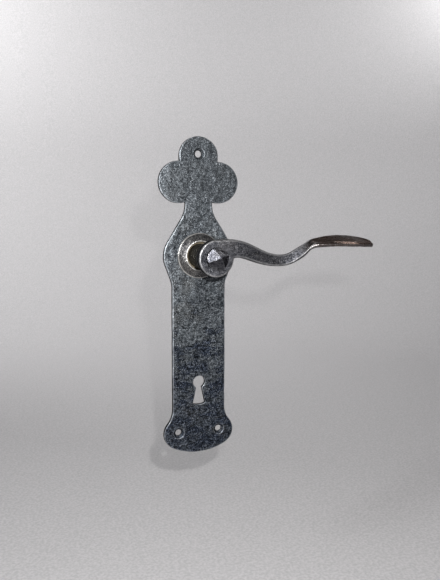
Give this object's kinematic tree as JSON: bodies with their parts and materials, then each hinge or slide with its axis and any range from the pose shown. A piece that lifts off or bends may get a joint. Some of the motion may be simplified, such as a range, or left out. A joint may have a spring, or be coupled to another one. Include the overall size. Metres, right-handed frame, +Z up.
{
  "type": "door lever handle",
  "caption": "Forged steel door lever on a long plate with a trefoil top, keyhole and flared foot; S-shaped strap twisted into a flat leaf grip, on a sprung neck with a square spindle.",
  "frame": {"origin": "on the turning axis of the lever and spindle, in the plane of the plate's back face", "axes": "+Z up along the plate; +X along the lever; +Y into the door along the spindle, so the front faces -Y"},
  "size_m": [0.1439, 0.1035, 0.223],
  "materials": {
    "plate_steel": "forged, blued and waxed",
    "ring_steel": "turned, waxed, worn bright on its edges",
    "neck_steel": "turned, waxed",
    "lever_steel": "forged, waxed, polished by hands on its edges",
    "bright_steel": "bright drawn",
    "spring_steel": "oiled black",
    "bush_brass": "turned"
  },
  "bodies": {
    "plate": {"back_plate": "plate_steel", "guide_ring": "ring_steel", "ring_rivets": "bright_steel", "bearing_bush": "bush_brass", "return_spring": "spring_steel"},
    "lever": {"lever_neck": "neck_steel", "stop_pin": "bright_steel", "thrust_washer": "bright_steel", "wave_washer": "spring_steel", "retaining_circlip": "spring_steel", "square_spindle": "bright_steel", "grub_screw": "spring_steel", "lever_arm": "lever_steel", "pyramid_stud": "lever_steel"}
  },
  "joints": [
    {"name": "lever_turn", "type": "hinge", "parent": "plate", "child": "lever", "pos_m": [0, 0, 0], "axis": [0, 1, 0], "range_deg": [0, 42], "stiffness_Nm_per_rad": 0.1, "springref_deg": -57.3, "deforming": ["return_spring"]}
  ]
}
